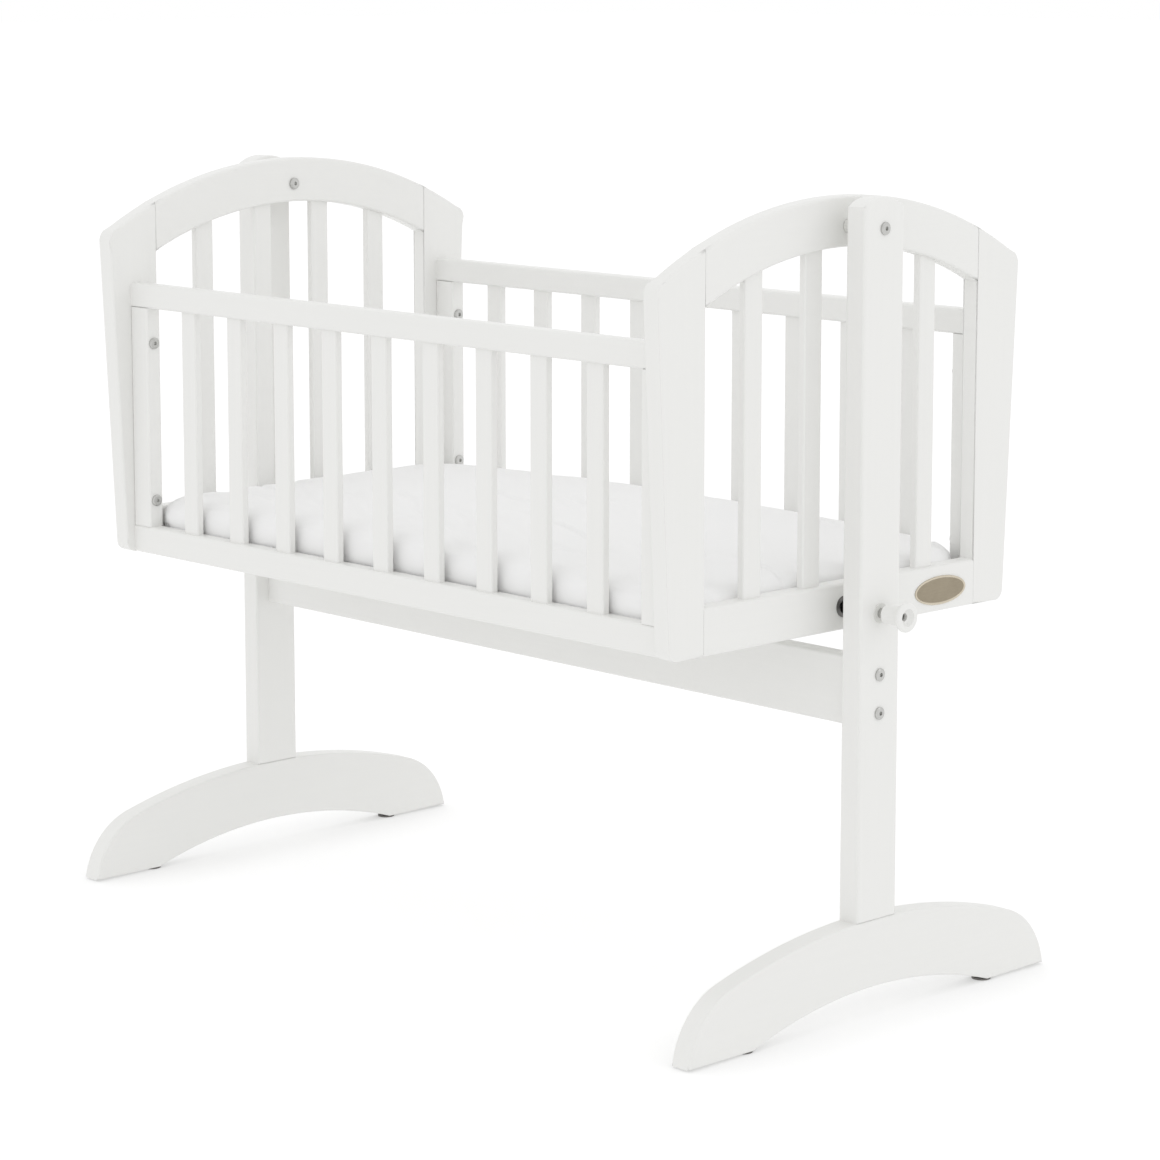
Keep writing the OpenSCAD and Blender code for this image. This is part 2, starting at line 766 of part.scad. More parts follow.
module base_battens() {
    color(paint) for (across = [-1, 1]) difference() {
        translate([-batten_length / 2, across > 0 ? inner_y - batten_width : -inner_y, cradle_floor])
            cube([batten_length, batten_width, base_floor - cradle_floor]);
        batten_screw_set(across, screw_diameter + 2 * fit, 1);
        at_batten_screws(across) translate([0, 0, -over])
            cylinder(h = over + screw_head_depth + fit, d = screw_head + 4 * fit, $fn = small);
    }
}

module batten_screws() {
    color(steel) for (across = [-1, 1]) difference() {
        union() {
            batten_screw_set(across, screw_diameter);
            at_batten_screws(across) cylinder(h = screw_head_depth, d = screw_head, $fn = small);
        }
        at_batten_screws(across) translate([0, 0, -over]) cylinder(h = over + 1.4, d = 3, $fn = 6);
    }
}

// The mattress is a stack of rings. Each ring is a rectangle with round corners, drawn in by inset.
// Its sides pull in a little between the corners.
mattress_corner = 35;     // radius of the corners in plan
mattress_edge = 12;       // radius of the rounded edges, top and bottom
side_pull = 3;            // how far the sides pull in half way along
corner_steps = 6;
side_steps = 10;
edge_steps = 4;
crown_shares = [0.9, 0.75, 0.55, 0.32, 0.12]; // how far out the rings of the crown lie

function corner_points(centre, r, start) =
    [for (k = [0 : corner_steps])
        let (a = start + 90 * k / corner_steps) centre + r * [cos(a), sin(a)]];

function side_points(p, q) =
    [for (k = [1 : side_steps - 1])
        let (t = k / side_steps, run = q - p, inward = [-run[1], run[0]] / norm(run))
            p + t * run + side_pull * sin(180 * t) * inward];

function ring(inset) =
    let (
        r = mattress_corner - inset,
        x = mattress_length / 2 - mattress_corner,
        y = mattress_width / 2 - mattress_corner,
        corners = [corner_points([x, y], r, 0), corner_points([-x, y], r, 90),
            corner_points([-x, -y], r, 180), corner_points([x, -y], r, 270)]
    )
    [for (k = [0 : 3])
        let (side = side_points(corners[k][corner_steps], corners[(k + 1) % 4][0]))
            each concat(corners[k], side)];

// each ring's inset, its height above the base board and its share of the full size
bottom_rings = [for (k = [0 : edge_steps])
    let (a = 90 * k / edge_steps) [mattress_edge * (1 - sin(a)), mattress_edge * (1 - cos(a)), 1]];
top_rings = [for (k = [0 : edge_steps])
    let (a = 90 * k / edge_steps)
        [mattress_edge * (1 - cos(a)), mattress_thickness - mattress_edge * (1 - sin(a)), 1]];
crown_rings = [for (t = crown_shares)
    [mattress_edge, mattress_thickness + mattress_crown * (1 - pow(t, 2)), t]];

module mattress() {
    rings = concat(bottom_rings, top_rings, crown_rings);
    count = len(rings);
    size = len(ring(0));
    centres = [[0, 0, mattress_floor], [0, 0, mattress_floor + mattress_thickness + mattress_crown]];
    points = concat(
        [for (r = rings, p = ring(r[0])) [p[0] * r[2], p[1] * r[2], mattress_floor + r[1]]],
        centres
    );
    faces = concat(
        [for (j = [0 : count - 2], i = [0 : size - 1])
            let (n = (i + 1) % size, a = j * size, b = a + size)
                each [[a + i, b + i, b + n], [a + i, b + n, a + n]]],
        [for (i = [0 : size - 1])
            let (n = (i + 1) % size, last = (count - 1) * size)
                each [[count * size, i, n], [count * size + 1, last + n, last + i]]]
    );
    color("#f6f5f2") polyhedron(points, faces);
}

// -- which nodes to draw ---------------------------------------------------------------------

centred() left_post();
centred() right_post();
centred() left_foot();
centred() right_foot();
centred() foot_glides();
centred() foot_dowels();
centred() stretcher();
centred() stretcher_bolts();
centred() stretcher_barrel_nuts();
centred() pivot_bolts();
centred() pivot_sleeves();
centred() pivot_spacers();
centred() lock_guide();
centred() left_front_stile();
centred() left_rear_stile();
centred() left_top_rail();
centred() left_bottom_rail();
centred() left_slats();
centred() right_front_stile();
centred() right_rear_stile();
centred() right_top_rail();
centred() right_bottom_rail();
centred() right_slats();
centred() end_panel_dowels();
centred() pivot_bushes();
centred() lock_bush();
centred() badge_plate();
centred() badge_pins();
centred() front_top_rail();
centred() front_bottom_rail();
centred() front_left_stile();
centred() front_right_stile();
centred() front_slats();
centred() rear_top_rail();
centred() rear_bottom_rail();
centred() rear_left_stile();
centred() rear_right_stile();
centred() rear_slats();
centred() side_panel_dowels();
centred() side_bolts();
centred() side_inserts();
centred() base_board();
centred() base_battens();
centred() batten_screws();
centred() mattress();
centred() lock_knob();
centred() lock_pin();
centred() lock_screw();
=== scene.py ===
import bpy
import bmesh
import math
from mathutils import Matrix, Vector, noise


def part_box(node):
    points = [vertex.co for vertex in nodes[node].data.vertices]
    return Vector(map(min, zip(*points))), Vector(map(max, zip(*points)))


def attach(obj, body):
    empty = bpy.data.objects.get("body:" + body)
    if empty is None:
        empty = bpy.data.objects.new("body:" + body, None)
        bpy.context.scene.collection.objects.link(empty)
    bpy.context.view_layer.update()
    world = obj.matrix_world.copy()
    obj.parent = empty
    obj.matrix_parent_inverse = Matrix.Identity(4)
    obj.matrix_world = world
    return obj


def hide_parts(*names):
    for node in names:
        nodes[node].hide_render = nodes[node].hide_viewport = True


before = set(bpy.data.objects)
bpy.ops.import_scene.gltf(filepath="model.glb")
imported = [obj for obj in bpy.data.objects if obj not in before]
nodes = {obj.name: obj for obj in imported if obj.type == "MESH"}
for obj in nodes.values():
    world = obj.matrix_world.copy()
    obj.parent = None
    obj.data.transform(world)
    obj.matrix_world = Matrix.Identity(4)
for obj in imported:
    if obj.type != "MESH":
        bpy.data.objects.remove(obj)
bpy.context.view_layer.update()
mm = 0.001
samePoint = 0.01 * mm       # points closer than this are one
sameLine = 0.1 * mm         # and this close to a line or plane lies on it
print("frame loaded:", len(nodes), "nodes")


class Flow:
    # one output of a shader node; an expression on it adds Math nodes
    def __init__(self, finish, socket):
        self.finish = finish
        self.socket = socket

    def maths(self, operation, first, second):
        return self.finish.node("ShaderNodeMath", {"operation": operation}, {0: first, 1: second})

    def __add__(self, other):
        return self.maths("ADD", self, other)

    def __radd__(self, other):
        return self.maths("ADD", other, self)

    def __sub__(self, other):
        return self.maths("SUBTRACT", self, other)

    def __rsub__(self, other):
        return self.maths("SUBTRACT", other, self)

    def __mul__(self, other):
        return self.maths("MULTIPLY", self, other)

    def __rmul__(self, other):
        return self.maths("MULTIPLY", other, self)

    def sine(self):
        return self.finish.node("ShaderNodeMath", {"operation": "SINE"}, {0: self})

    def atMost(self, other):
        return self.maths("MINIMUM", self, other)


class Finish:
    # a material or world, whose nodes all come from the one method below
    def __init__(self, owner):
        owner.use_nodes = True
        self.owner = owner
        self.tree = owner.node_tree
        self.tree.nodes.clear()

    def node(self, kind, settings=None, sockets=None, out=0):
        made = self.tree.nodes.new(kind)
        for key, value in (settings or {}).items():
            setattr(made, key, value)
        for key, value in (sockets or {}).items():
            if isinstance(value, Flow):
                self.tree.links.new(value.socket, made.inputs[key])
            else:
                made.inputs[key].default_value = value
        return Flow(self, made.outputs[out]) if made.outputs else made

    def outputs(self, kind, *names):
        # several outputs of one node that needs no inputs
        made = self.node(kind)
        return [Flow(self, made.socket.node.outputs[name]) for name in names]

    def noise(self, scale, detail, stretch=(1, 1, 1), rough=0.55):
        # noise through the object, in metres, stretched by stretch
        here = self.node("ShaderNodeTexCoord", out="Object")
        where = self.node("ShaderNodeMapping", {}, {"Vector": here, "Scale": stretch})
        return self.node("ShaderNodeTexNoise", {},
                         {"Vector": where, "Scale": scale, "Detail": detail, "Roughness": rough})

    def blend(self, share, first, second):
        # from the first colour to the second
        return self.node("ShaderNodeMix", {"data_type": "RGBA"},
                         {0: share, 6: (*first, 1), 7: (*second, 1)}, out=2)

    def bump(self, height, depth, under=None):
        sockets = {"Height": height, "Distance": depth, "Strength": 1.0}
        if under is not None:
            sockets["Normal"] = under
        return self.node("ShaderNodeBump", {}, sockets)

    def surface(self, sockets):
        skin = self.node("ShaderNodeBsdfPrincipled", {}, sockets)
        self.node("ShaderNodeOutputMaterial", {}, {"Surface": skin})
        return self.owner


def newFinish(name):
    return Finish(bpy.data.materials.new(name))


def setFinish(obj, material):
    obj.data.materials.clear()
    obj.data.materials.append(material)


def newObject(name, data):
    obj = bpy.data.objects.new(name, data)
    bpy.context.scene.collection.objects.link(obj)
    return obj


def shadeSmooth(mesh):
    for face in mesh.polygons:
        face.use_smooth = True


def clamp(value, low, high):
    return min(max(value, low), high)


paintLook = {
    "tone": (0.864, 0.863, 0.845),      # satin white, a little warm
    "shade": (0.840, 0.840, 0.821),     # where the film lies thinner over the grain
    "roughness": 0.36,
    "uneven": 0.06,                     # how much the roughness changes
    "grain": (9, 260),                  # the grain's noise along and across the board
    "cloud": 7.0,
    "peel": 900.0,                      # orange peel of the sprayed film
    "grainDepth": 0.05 * mm,
    "peelDepth": 0.02 * mm,
}


def paintFinish(axis):
    # satin white over wood whose grain runs along the axis
    look = paintLook
    along, across = look["grain"]
    f = newFinish("satin_white_" + axis)
    grain = f.noise(1.0, 4.0, [along if name == axis else across for name in "xyz"], 0.6)
    cloud = f.noise(look["cloud"], 2.0)
    peel = f.noise(look["peel"], 2.0)
    return f.surface({
        "Base Color": f.blend(grain * 0.7 + cloud * 0.5 - 0.2, look["tone"], look["shade"]),
        "Roughness": (grain + cloud) * look["uneven"] + (look["roughness"] - look["uneven"]),
        "Normal": f.bump(peel, look["peelDepth"], f.bump(grain, look["grainDepth"])),
        "IOR": 1.5})


paintAlongX, paintAlongY, paintAlongZ = (paintFinish(axis) for axis in "xyz")


woodLook = {
    "tone": (0.58, 0.42, 0.26),
    "shade": (0.44, 0.29, 0.16),
    "bands": (5, 90, 90),               # the year rings' noise, along X
    "pores": (25, 450, 450),
    "roughness": 0.5,
    "depth": 0.1 * mm,
}


def woodFinish(name):
    look = woodLook
    f = newFinish(name)
    bands = f.noise(1.0, 5.0, look["bands"], 0.6)
    pores = f.noise(1.0, 2.0, look["pores"])
    return f.surface({
        "Base Color": f.blend(bands * 0.8 + pores * 0.4 - 0.1, look["tone"], look["shade"]),
        "Roughness": pores * 0.2 + look["roughness"],
        "Normal": f.bump(bands + pores, look["depth"])})


bareWood = woodFinish("bare_wood")


metalLook = {
    "speck": 700.0,
    "cloud": 120.0,
    "uneven": 0.16,                     # how much the roughness changes
    "depth": 0.03 * mm,
}


def metalFinish(name, tone, dull, roughness):
    look = metalLook
    f = newFinish(name)
    speck = f.noise(look["speck"], 3.0)
    cloud = f.noise(look["cloud"], 2.0)
    return f.surface({
        "Base Color": f.blend(speck * 0.5 + cloud * 0.5, tone, dull),
        "Metallic": 1.0,
        "Roughness": cloud * look["uneven"] + (roughness - look["uneven"] / 2),
        "Normal": f.bump(speck, look["depth"])})


boltSteel = metalFinish("zinc_steel", (0.60, 0.60, 0.58), (0.48, 0.48, 0.47), 0.34)
ringSteel = metalFinish("dark_steel", (0.24, 0.235, 0.23), (0.16, 0.16, 0.155), 0.36)
insertBrass = metalFinish("insert_brass", (0.72, 0.55, 0.30), (0.60, 0.44, 0.22), 0.32)
badgeRim = metalFinish("badge_rim", (0.66, 0.60, 0.49), (0.55, 0.49, 0.39), 0.28)


plasticLook = {
    "cloud": 60.0,
    "grit": 1500.0,
    "depth": 0.03 * mm,
}


def plasticFinish(name, tone, shade, roughness):
    look = plasticLook
    f = newFinish(name)
    cloud = f.noise(look["cloud"], 3.0)
    grit = f.noise(look["grit"], 2.0)
    return f.surface({
        "Base Color": f.blend(cloud, tone, shade),
        "Roughness": grit * 0.1 + cloud * 0.06 + (roughness - 0.08),
        "Normal": f.bump(grit, look["depth"])})


nylon = plasticFinish("white_nylon", (0.80, 0.80, 0.77), (0.74, 0.74, 0.71), 0.42)
glidePlastic = plasticFinish("glide_plastic", (0.16, 0.15, 0.14), (0.11, 0.105, 0.10), 0.6)


fieldLook = {
    "tone": (0.40, 0.35, 0.265),        # satin bronze, brushed along the plate's length
    "shade": (0.27, 0.23, 0.17),
    "brush": (1, 90, 2600),
    "cloud": 90.0,
    "roughness": 0.34,
    "uneven": 0.16,
    "depth": 0.04 * mm,
}


def fieldFinish():
    look = fieldLook
    f = newFinish("badge_field")
    brush = f.noise(1.0, 3.0, look["brush"])
    cloud = f.noise(look["cloud"], 3.0)
    return f.surface({
        "Base Color": f.blend(brush * 0.5 + cloud * 0.5, look["tone"], look["shade"]),
        "Metallic": 1.0,
        "Roughness": brush * look["uneven"] + look["roughness"],
        "Normal": f.bump(brush, look["depth"])})


badgeField = fieldFinish()


sheetLook = {
    "tone": (0.955, 0.954, 0.953),      # bleached cotton
    "shade": (0.918, 0.917, 0.916),
    "thread": 1.1 * mm,                 # from thread to thread
    "slub": (120, 700, 300),            # the thicker threads' noise
    "cloud": 14.0,
    "roughness": 0.82,
    "depth": 0.12 * mm,
    "sheen": (0.15, 0.5),               # weight and roughness
}


def sheetFinish():
    look = sheetLook
    f = newFinish("white_cotton")
    step = 2 * math.pi / look["thread"]
    here = f.node("ShaderNodeTexCoord", out="Object")
    split = f.node("ShaderNodeSeparateXYZ", {}, {0: here})
    x, y, z = (Flow(f, split.socket.node.outputs[name]) for name in "XYZ")
    warp = ((x + z) * step).sine()
    weft = ((y + z) * step).sine()
    weave = warp * weft * 0.5 + 0.5
    slub = f.noise(1.0, 3.0, look["slub"])
    cloud = f.noise(look["cloud"], 3.0)
    return f.surface({
        "Base Color": f.blend(weave * 0.25 + slub * 0.35 + cloud * 0.4, look["tone"], look["shade"]),
        "Roughness": slub * 0.1 + look["roughness"],
        "Normal": f.bump(weave * 0.6 + slub * 0.5, look["depth"]),
        "Sheen Weight": look["sheen"][0],
        "Sheen Roughness": look["sheen"][1]})


cotton = sheetFinish()
print("finishes made")


edgeLook = {
    "round": 3.0 * mm,          # rounding of the sawn outlines
    "footRound": 2.5 * mm,
    "joint": 0.6 * mm,          # the fine groove where two boards meet
    "segments": 4,
    "smallest": 2.8 * mm,       # shorter edges belong to drilled holes
    "flat": 0.1,                # faces that turn by fewer degrees than this become one
    "stileLine": 201 * mm,      # the end rails meet the stiles at this distance from the middle
}


def roundBoard(name, width, meets):
    # rounds the outline of a board that is sawn from its two flat sides
    obj = nodes[name]
    mesh = obj.data
    low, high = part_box(name)
    for layer in ("custom_normal", "sharp_face", "sharp_edge"):
        if layer in mesh.attributes:
            mesh.attributes.remove(mesh.attributes[layer])
    uses = {}
    for face in mesh.polygons:
        for key in face.edge_keys:
            uses[key] = uses.get(key, 0) + 1
    weight = mesh.attributes.new("bevel_weight_edge", "FLOAT", "EDGE").data
    crisp = mesh.attributes.new("sharp_edge", "BOOLEAN", "EDGE").data
    for edge in mesh.edges:
        if uses[edge.key] > 1:      # the solid's mesh is split along its sharp edges alone
            continue
        a, b = (mesh.vertices[i].co for i in edge.vertices)
        flat = any(abs(a.x - side) < samePoint and abs(b.x - side) < samePoint
                   for side in (low.x, high.x))
        if flat and (a - b).length > edgeLook["smallest"]:
            weight[edge.index].value = edgeLook["joint"] / width if meets(a, b) else 1.0
        else:
            crisp[edge.index].value = True
    shadeSmooth(mesh)
    weld = obj.modifiers.new("weld", "WELD")
    weld.merge_threshold = samePoint
    flatten = obj.modifiers.new("flatten", "DECIMATE")
    flatten.decimate_type = "DISSOLVE"
    flatten.angle_limit = math.radians(edgeLook["flat"])
    bevel = obj.modifiers.new("round", "BEVEL")
    bevel.limit_method = "WEIGHT"
    bevel.width = width
    bevel.segments = edgeLook["segments"]
    bevel.use_clamp_overlap = False
    bevel.loop_slide = False
    bevel.harden_normals = True


def atStileLine(a, b):
    return all(abs(abs(p.y) - edgeLook["stileLine"]) < sameLine for p in (a, b))


def atPostFoot(a, b):
    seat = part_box("left_post")[0].z
    return all(abs(p.z - seat) < sameLine for p in (a, b))


def nowhere(a, b):
    return False


for end in ("left", "right"):
    for board in ("front_stile", "rear_stile", "top_rail"):
        roundBoard(end + "_" + board, edgeLook["round"], atStileLine)
    roundBoard(end + "_post", edgeLook["round"], atPostFoot)
    # a post's long edges are shaded by its big faces, not by the small ones at its foot
    facing = nodes[end + "_post"].modifiers.new("facing", "WEIGHTED_NORMAL")
    facing.mode = "FACE_AREA"
    facing.keep_sharp = True
    roundBoard(end + "_foot", edgeLook["footRound"], nowhere)

finishOf = {
    paintAlongX: ["stretcher", "front_top_rail", "rear_top_rail", "front_bottom_rail",
                  "rear_bottom_rail", "lock_knob", "base_board", "base_battens"],
    paintAlongY: ["left_foot", "right_foot", "left_top_rail", "right_top_rail",
                  "left_bottom_rail", "right_bottom_rail"],
    paintAlongZ: ["left_post", "right_post", "left_front_stile", "left_rear_stile",
                  "right_front_stile", "right_rear_stile", "left_slats", "right_slats",
                  "front_slats", "rear_slats", "front_left_stile", "front_right_stile",
                  "rear_left_stile", "rear_right_stile"],
    bareWood: ["foot_dowels", "end_panel_dowels", "side_panel_dowels"],
    boltSteel: ["stretcher_bolts", "stretcher_barrel_nuts", "pivot_bolts", "pivot_sleeves",
                "side_bolts", "batten_screws", "lock_pin"],
    ringSteel: ["lock_bush", "lock_screw"],
    insertBrass: ["side_inserts", "badge_pins"],
    badgeRim: ["badge_plate"],
    nylon: ["pivot_spacers", "pivot_bushes", "lock_guide"],
    glidePlastic: ["foot_glides"],
    cotton: ["mattress"],
}
for material, names in finishOf.items():
    for name in names:
        setFinish(nodes[name], material)
        shadeSmooth(nodes[name].data)
print("boards rounded, finishes given")


mattressLook = {
    "inset": (0.986, 0.976, 0.90),      # the start shape against the CAD solid
    "voxel": 6.0 * mm,
    "frames": 16,
    "quality": 5,
    "weight": 0.3,
    "pressure": 4.0,
    "swell": 6.0 * mm,                  # how far a point may move
    "tray": (425.3 * mm, 219.4 * mm),   # half the room between the bottom rails
    "bulge": (2.6 * mm, 3.5 * mm),      # how far the sides stand out over the rails' tops
    "railTop": (423 * mm, 430 * mm),    # from here the sides may stand out, from here fully
    "edge": 42 * mm,                    # thickness at the edge
    "flatten": 0.5,                     # the top's crown against the swollen one
    "lift": 11.5 * mm,                  # how much thicker the middle of the length is than the ends
    "crown": 9.5 * mm,                  # how far the top may rise over the CAD solid
    "startCorner": 36 * mm,             # radius of the corners in plan before the sheet's pull
    "corner": 57 * mm,                  # and after it
    "droop": 3.5 * mm,                  # how far the corners are pulled down
    "droopPower": 6,                    # how closely that keeps to the corners
}

# a noise's change per metre along x and y, twice, and its own third place
foldLook = {
    "long": ((26, 5), (0, 4), 3.0),         # folds across the top
    "short": ((60, 0), (0, 11), 9.0),
    "shortShare": 0.5,
    "folds": 0.9 * mm,
    "crease": ((3, -2), (9, 21), 17.0),     # fine creases lie where this one is near nought
    "patch": ((5, 0), (0, 6), 31.0),        # and this one is above it
    "patchEdge": 5,
    "creases": 5.0 * mm,                    # their depth
    "creaseWidth": 0.10,
    "ripple": ((45, 0), (0, 45)),           # upright ripples round the sides
    "rippleRise": 6,
    "ripples": 0.35 * mm,
}


def applied(obj, name):
    # the object's mesh with its modifiers worked in, and the object left with that mesh alone
    view = bpy.context.evaluated_depsgraph_get()
    mesh = bpy.data.meshes.new_from_object(obj.evaluated_get(view))
    mesh.name = name
    obj.modifiers.clear()
    return mesh


def swell(obj, start):
    # cloth with air in it, each point moved no further than the cap
    look = mattressLook
    scene = bpy.context.scene
    scene.frame_start, scene.frame_end = 1, look["frames"]
    cloth = obj.modifiers.new("cloth", "CLOTH")
    cloth.point_cache.frame_start, cloth.point_cache.frame_end = 1, look["frames"]
    cloth.settings.quality = look["quality"]
    cloth.settings.mass = look["weight"]
    cloth.settings.use_pressure = True
    cloth.settings.uniform_pressure_force = look["pressure"]
    cloth.settings.effector_weights.gravity = 0
    for step in range(1, look["frames"] + 1):
        scene.frame_set(step)
    swollen = applied(obj, "mattress_swollen")
    scene.frame_set(1)
    furthest = 0
    for v, w in zip(start.vertices, swollen.vertices):
        move = w.co - v.co
        if move.length > look["swell"]:
            move = move * (look["swell"] / move.length)
        furthest = max(furthest, move.length)
        v.co = v.co + move
    print("mattress swelled by", round(furthest / mm, 1), "mm")


def field(p, first, second, third):
    return noise.noise(Vector((p.x * first[0] + p.y * first[1],
                               p.x * second[0] + p.y * second[1], third)))


def foldSheet(sheet):
    # long folds across the top with finer creases, short upright ripples round the sides
    look = foldLook
    facing = [v.normal.copy() for v in sheet.vertices]
    for v, n in zip(sheet.vertices, facing):
        p = v.co.copy()
        top = max(0.0, n.z)
        side = math.sqrt(max(0.0, 1 - n.z * n.z))
        fold = field(p, *look["long"]) + look["shortShare"] * field(p, *look["short"])
        ripple = field(p, *look["ripple"], p.z * look["rippleRise"])
        line = field(p, *look["crease"]) / look["creaseWidth"]
        crease = math.exp(-line ** 2) * clamp(field(p, *look["patch"]) * look["patchEdge"], 0.0, 1.0)
        rise = (fold * look["folds"] - crease * look["creases"]) * top
        v.co = p + n * (rise + ripple * look["ripples"] * side)


def fillTray(sheet, middle):
    # the sheet fills the room between the bottom rails and stands out a little over their tops
    look = mattressLook
    start, full = look["railTop"]
    for axis, (room, bulge) in enumerate(zip(look["tray"], look["bulge"])):
        reach = max(abs(v.co[axis] - middle[axis]) for v in sheet.vertices)
        for v in sheet.vertices:
            most = room + bulge * clamp((v.co.z - start) / (full - start), 0.0, 1.0)
            out = (v.co[axis] - middle[axis]) * (room + bulge) / reach
            v.co[axis] = middle[axis] + clamp(out, -most, most)


def cornerShare(long, short):
    # how far a corner point is drawn in, in the direction (long, short) from the new corner's centre
    corner, start = mattressLook["corner"], mattressLook["startCorner"]
    gap = corner - start
    if corner * short / long < gap:
        return long
    spread = gap * (long + short)
    return corner / (spread + math.sqrt(spread * spread - 2 * gap * gap + start * start))


def pullCorners(sheet, low, middle, high):
    # corners pulled round and down by the fitted sheet, so the middle stands higher
    look = mattressLook
    half = [room + bulge for room, bulge in zip(look["tray"], look["bulge"])]
    for v in sheet.vertices:
        height = max(v.co.z - low.z, 0.0)
        along, across = ((v.co[i] - middle[i]) / half[i] for i in (0, 1))
        lift = look["lift"] * max(1 - along * along, 0.0)
        lift -= look["droop"] * abs(along * across) ** look["droopPower"]
        if height > look["edge"]:
            height = look["edge"] + (height - look["edge"]) * look["flatten"]
        lift *= min(height / look["edge"], 1.0)
        v.co.z = min(low.z + height + lift, high.z + look["crown"])
        centre = [size - look["corner"] for size in half]
        past = [abs(v.co[i] - middle[i]) - centre[i] for i in (0, 1)]
        if min(past) > 0:
            share = cornerShare(max(past) / math.hypot(*past), min(past) / math.hypot(*past))
            for i in (0, 1):
                side = math.copysign(1, v.co[i] - middle[i])
                v.co[i] = middle[i] + side * (centre[i] + past[i] * share)


def makeMattress():
    look = mattressLook
    low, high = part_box("mattress")
    middle = (low + high) / 2
    shape = bmesh.new()
    shape.from_mesh(nodes["mattress"].data)
    bmesh.ops.remove_doubles(shape, verts=shape.verts, dist=samePoint)
    for v in shape.verts:
        v.co = middle + Vector([d * s for d, s in zip(v.co - middle, look["inset"])])
    mesh = bpy.data.meshes.new("mattress_start")
    shape.to_mesh(mesh)
    shape.free()
    obj = newObject("mattress_sheet", mesh)
    remesh = obj.modifiers.new("remesh", "REMESH")
    remesh.mode = "VOXEL"
    remesh.voxel_size = look["voxel"]
    start = applied(obj, "mattress_remeshed")
    obj.data = start
    swell(obj, start)
    sub = obj.modifiers.new("smooth", "SUBSURF")
    sub.levels = sub.render_levels = 1
    sheet = applied(obj, "mattress_sheet")
    obj.data = sheet
    foldSheet(sheet)
    fillTray(sheet, middle)
    pullCorners(sheet, low, middle, high)
    shadeSmooth(sheet)
    setFinish(obj, cotton)
    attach(obj, "cradle")
    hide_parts("mattress")
    print("mattress:", len(obj.data.polygons), "faces")


makeMattress()


plateLook = {
    "segments": 96,
    # inset from the outline and height over the rail, mm
    "rim": [(0, 0), (0, 0.65), (0.12, 0.95), (0.4, 1.15), (0.8, 1.2), (1.7, 1.2), (2.0, 1.1),
            (2.2, 0.8), (2.4, 0.62)],
    "dome": [(3.2, 0.62), (5.5, 0.70), (9.0, 0.80), (12.5, 0.86)],
}


def makePlate():
    look = plateLook
    low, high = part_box("badge_plate")
    middle = (low + high) / 2
    halfWidth, halfHeight = (high.y - low.y) / 2, (high.z - low.z) / 2
    turns = [2 * math.pi * k / look["segments"] for k in range(look["segments"])]
    shape = bmesh.new()
    rings = []
    for inset, height in look["rim"] + look["dome"]:
        rings.append([shape.verts.new((low.x + height * mm,
                                       middle.y + (halfWidth - inset * mm) * math.cos(turn),
                                       middle.z + (halfHeight - inset * mm) * math.sin(turn)))
                      for turn in turns])
    for index, (outer, inner) in enumerate(zip(rings, rings[1:])):
        for k in range(len(outer)):
            j = (k + 1) % len(outer)
            face = shape.faces.new((outer[k], outer[j], inner[j], inner[k]))
            face.smooth = True
            face.material_index = 0 if index < len(look["rim"]) - 1 else 1
    shape.faces.new(rings[-1]).material_index = 1
    shape.faces.new(list(reversed(rings[0])))
    bmesh.ops.recalc_face_normals(shape, faces=shape.faces)
    mesh = bpy.data.meshes.new("oval_plate")
    shape.to_mesh(mesh)
    shape.free()
    mesh.materials.append(badgeRim)
    mesh.materials.append(badgeField)
    obj = newObject("oval_plate", mesh)
    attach(obj, "cradle")
    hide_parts("badge_plate")


makePlate()
print("oval plate made")


studioLook = {
    "sky": 0.965,               # light of the white room on the object
    "floorBounce": 0.45,        # the floor as the object sees it: this share of what falls on it,
    "floorLift": 0.50,          # and light of its own, so that it stays bright under the cradle
    "floorTone": 0.62,          # the floor as the camera sees it: this share, and a glow
    "floorWhite": 1.07,         # how bright it is far off; 1 is just white
    "contact": 0.50,            # how much the camera's view of the floor is darkened right beside a foot, a painted contact shadow
    "contactReach": 0.10,
    "contactSamples": 8,
    "grain": 40.0,
    "grainShare": 0.004,
    "floorSize": 40.0,
}


def seenDirectly(f):
    # 1 for rays from the camera, reflections and glass
    camera, glossy, glass = f.outputs("ShaderNodeLightPath", "Is Camera Ray", "Is Glossy Ray",
                                      "Is Transmission Ray")
    return (camera + glossy + glass).atMost(1.0)


def makeWorld():
    world = bpy.data.worlds.new("room")
    bpy.context.scene.world = world
    f = Finish(world)
    seen = seenDirectly(f)
    strength = seen * (1 - studioLook["sky"]) + studioLook["sky"]
    light = f.node("ShaderNodeBackground", {}, {"Color": (1, 1, 1, 1), "Strength": strength})
    f.node("ShaderNodeOutputWorld", {}, {"Surface": light})


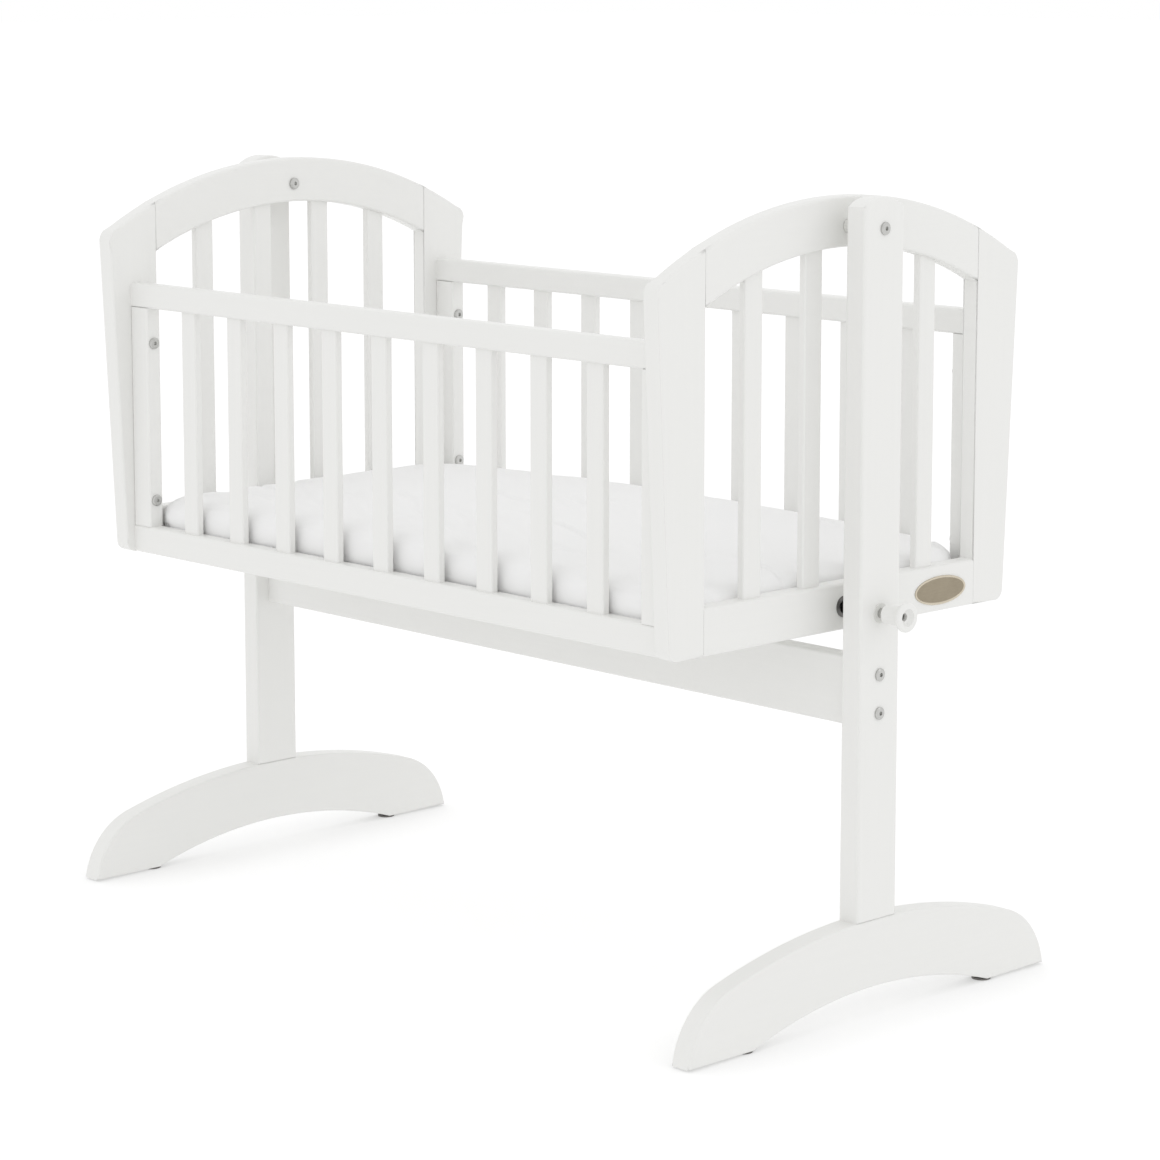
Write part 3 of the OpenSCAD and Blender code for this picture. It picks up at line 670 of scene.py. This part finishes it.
def makeFloor():
    look = studioLook
    half = look["floorSize"]
    corners = [(-half, -half, 0), (half, -half, 0), (half, half, 0), (-half, half, 0)]
    mesh = bpy.data.meshes.new("floor")
    mesh.from_pydata(corners, [], [(0, 1, 2, 3)])
    obj = newObject("floor", mesh)
    f = newFinish("floor_white")
    seen = seenDirectly(f)
    grain = f.noise(look["grain"], 2.0)
    tone = seen * (look["floorTone"] - look["floorBounce"]) + look["floorBounce"]
    bounce = f.node("ShaderNodeBsdfDiffuse", {}, {"Color": tone + grain * look["grainShare"]})
    # painted contact shadow: ambient occlusion near the feet darkens the glow that the camera sees
    # on the floor
    clear = f.node("ShaderNodeAmbientOcclusion", {"samples": look["contactSamples"]},
                   {"Distance": look["contactReach"]}, out="AO")
    paintedContactShade = clear * look["contact"] + (1 - look["contact"])
    shine = look["floorWhite"] - look["floorTone"] * look["sky"]
    glow = f.node("ShaderNodeEmission", {}, {
        "Color": (1, 1, 1, 1),
        "Strength": seen * paintedContactShade * shine + (1 - seen) * look["floorLift"]})
    both = f.node("ShaderNodeAddShader", {}, {0: bounce, 1: glow})
    f.node("ShaderNodeOutputMaterial", {}, {"Surface": both})
    setFinish(obj, f.owner)


lampLook = {
    "towards": (0.76, 0.40, 0.52),      # from the object to the lamp
    "distance": 3.2,
    "size": 0.5,
    "power": 1.5,
    "aim": (0, 0, 0.45),
}


def makeLamp():
    light = bpy.data.lights.new("key", "AREA")
    light.shape = "DISK"
    light.size = lampLook["size"]
    light.energy = lampLook["power"]
    obj = newObject("key", light)
    aim = Vector(lampLook["aim"])
    obj.location = aim + Vector(lampLook["towards"]).normalized() * lampLook["distance"]
    obj.rotation_euler = (aim - obj.location).to_track_quat("-Z", "Y").to_euler()
    obj.visible_camera = False


cameraLook = {
    "at": (2.7699, -2.5906, 1.0722),
    "tilt": 81.648,
    "turn": 46.471,
    "lens": 109.0,
    "sensor": 36,
    "shift": -0.1,
    "far": 60,
}


def makeCamera():
    camera = bpy.data.cameras.new("camera")
    camera.sensor_width = cameraLook["sensor"]
    camera.lens = cameraLook["lens"]
    camera.shift_y = cameraLook["shift"]
    camera.clip_end = cameraLook["far"]
    obj = newObject("camera", camera)
    obj.location = cameraLook["at"]
    obj.rotation_euler = (math.radians(cameraLook["tilt"]), 0, math.radians(cameraLook["turn"]))
    bpy.context.scene.camera = obj


makeWorld()
makeFloor()
makeLamp()
makeCamera()
bpy.context.scene.view_settings.view_transform = "Standard"
print("studio set")
